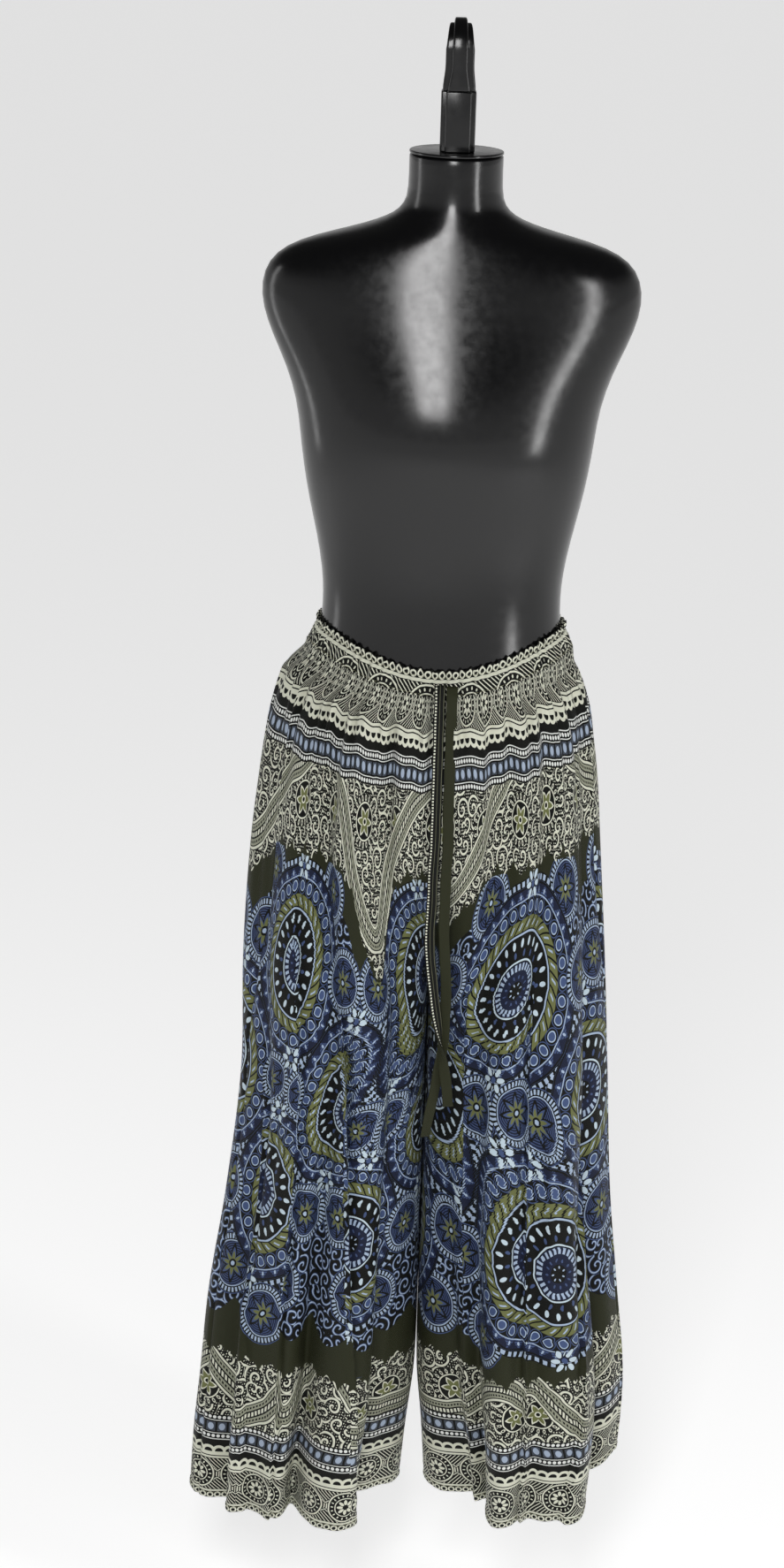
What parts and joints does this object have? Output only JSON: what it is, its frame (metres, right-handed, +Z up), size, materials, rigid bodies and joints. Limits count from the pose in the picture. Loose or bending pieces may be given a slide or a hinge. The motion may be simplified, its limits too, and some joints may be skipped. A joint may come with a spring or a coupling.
{
  "type": "palazzo pants on a hanging dress form",
  "caption": "Wide-leg elastic-waist palazzo pants with a gathered, ruffled waistband and front ties, worn by a smooth limbless torso form that hangs from a hook.",
  "frame": {"origin": "where the hook's inner face bears on the rail, on the rail's top line", "axes": "+Z up, front of the pants towards -Y, +X towards the wearer's left"},
  "size_m": [0.4661, 0.2869, 1.5664],
  "materials": {
    "printed_cloth": "satin woven, printed",
    "dotted_tie": "satin woven, printed with rows of dots",
    "plain_tie": "satin woven, plain",
    "form_plastic": "gloss, moulded"
  },
  "bodies": {
    "root": {"front_leg_left": "printed_cloth", "front_leg_right": "printed_cloth", "back_leg_left": "printed_cloth", "back_leg_right": "printed_cloth", "waistband": "printed_cloth", "drawstring_dotted": "dotted_tie", "drawstring_plain": "plain_tie", "form_torso": "form_plastic", "neck_cap": "form_plastic", "hook_stem": "form_plastic", "hook": "form_plastic"}
  },
  "joints": []
}
